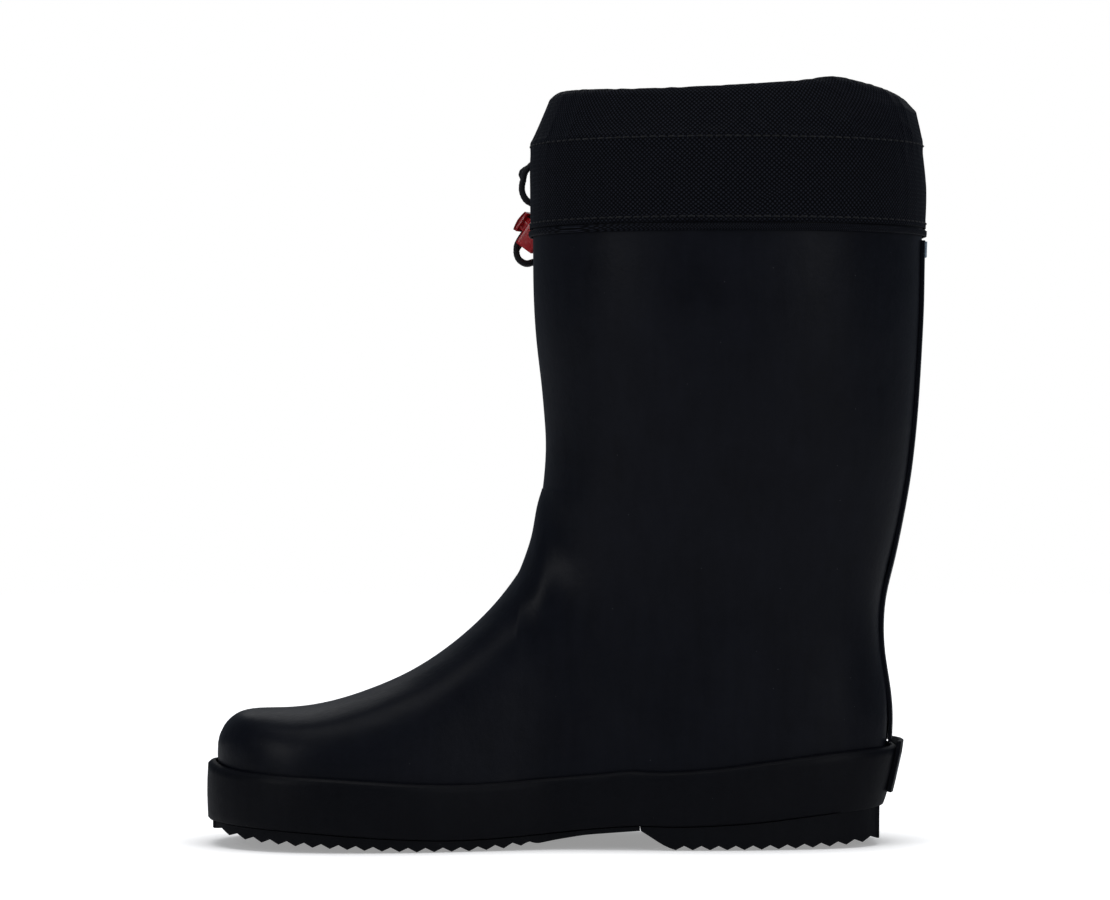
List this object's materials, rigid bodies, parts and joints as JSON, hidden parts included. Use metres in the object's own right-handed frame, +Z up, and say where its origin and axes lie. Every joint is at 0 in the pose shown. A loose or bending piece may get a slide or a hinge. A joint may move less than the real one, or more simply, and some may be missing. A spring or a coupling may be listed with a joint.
{
  "type": "child's rain boot",
  "caption": "Child's rubber rain boot with a woven cuff gathered by a drawcord and a spring cord lock, banded sole and toothed heel.",
  "frame": {"origin": "middle of the boot's footprint, on the ground", "axes": "+Z up along the leg, -X toward the toe, -Y the boot's medial side"},
  "size_m": [0.2272, 0.0998, 0.2375],
  "materials": {
    "upper_shell": "satin vulcanised rubber",
    "upper_lining": "brushed knit",
    "back_strip": "satin rubber",
    "foxing_band": "satin rubber",
    "outsole": "matt rubber",
    "heel_block": "matt rubber",
    "heel_filler": "foam",
    "insole_board": "fibre board",
    "footbed": "foam with a knit top",
    "heel_counter": "matt",
    "heel_patch": "satin rubber",
    "heel_patch_panel": "retroreflective film",
    "cuff_fabric": "woven nylon",
    "cuff_hem": "woven nylon",
    "cuff_seam_thread": "polyester thread",
    "channel_thread": "polyester thread",
    "eyelet_front": "black",
    "eyelet_rear": "black",
    "topline_tape": "woven tape",
    "back_tag": "woven tape",
    "back_label": "woven label",
    "lock_body": "glossy red",
    "lock_jaw": "glossy red",
    "lock_spring": "spring steel",
    "drawcord": "braided polyester",
    "channel_cord": "braided polyester"
  },
  "bodies": {
    "boot": {"upper_shell": "upper_shell", "upper_lining": "upper_lining", "back_strip": "back_strip", "foxing_band": "foxing_band", "outsole": "outsole", "heel_block": "heel_block", "heel_filler": "heel_filler", "insole_board": "insole_board", "footbed": "footbed", "heel_counter": "heel_counter", "heel_patch": "heel_patch", "heel_patch_panel": "heel_patch_panel", "cuff_fabric": "cuff_fabric", "cuff_hem": "cuff_hem", "cuff_seam_thread": "cuff_seam_thread", "channel_thread": "channel_thread", "eyelet_front": "eyelet_front", "eyelet_rear": "eyelet_rear", "topline_tape": "topline_tape", "back_tag": "back_tag", "back_label": "back_label", "channel_cord": "channel_cord"},
    "cord_loop": {"drawcord": "drawcord"},
    "cord_lock": {"lock_body": "lock_body", "lock_spring": "lock_spring"},
    "lock_button": {"lock_jaw": "lock_jaw"}
  },
  "joints": [
    {"name": "toggle_swing", "type": "hinge", "parent": "boot", "child": "cord_loop", "pos_m": [0.01021, 0.03589, 0.22491], "axis": [0.828, 0.5607, 0], "range_deg": [0, 60], "deforming": ["drawcord"]},
    {"name": "lock_slide", "type": "slide", "parent": "cord_loop", "child": "cord_lock", "axis": [-0.5443, 0.1981, -0.8151], "range_m": [-0.0015, 0.0015], "deforming": ["drawcord"]},
    {"name": "lock_press", "type": "slide", "parent": "cord_lock", "child": "lock_button", "axis": [-0.766, 0.2788, 0.5793], "range_m": [0, 0.0015], "stiffness_N_per_m": 600, "springref_m": -0.003, "deforming": ["lock_spring"]}
  ]
}
